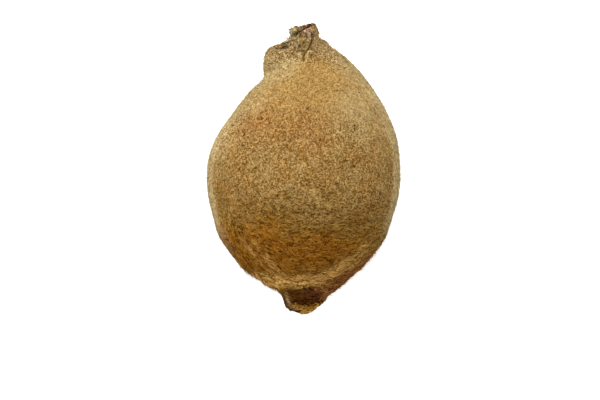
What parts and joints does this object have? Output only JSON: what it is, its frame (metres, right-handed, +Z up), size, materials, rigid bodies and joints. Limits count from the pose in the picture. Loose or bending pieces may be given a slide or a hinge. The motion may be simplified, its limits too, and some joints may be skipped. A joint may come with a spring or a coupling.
{
  "type": "false yam fruit",
  "caption": "Dried lemon-shaped fruit with a velvety golden-brown skin, a swelling beside its stalk end, a withered calyx and a short hollowed beak, lying on its side.",
  "frame": {"origin": "middle of the small flat spot that the fruit rests on, under its widest place", "axes": "+Y along the fruit towards its stalk end, +Z up from the surface it lies on, +X to the side away from the swelling"},
  "size_m": [0.0234, 0.0354, 0.0208],
  "materials": {
    "husk": "dry, matt and velvety",
    "calyx": "dry and matt"
  },
  "bodies": {
    "root": {"fruit": "husk", "calyx": "calyx"}
  },
  "joints": []
}
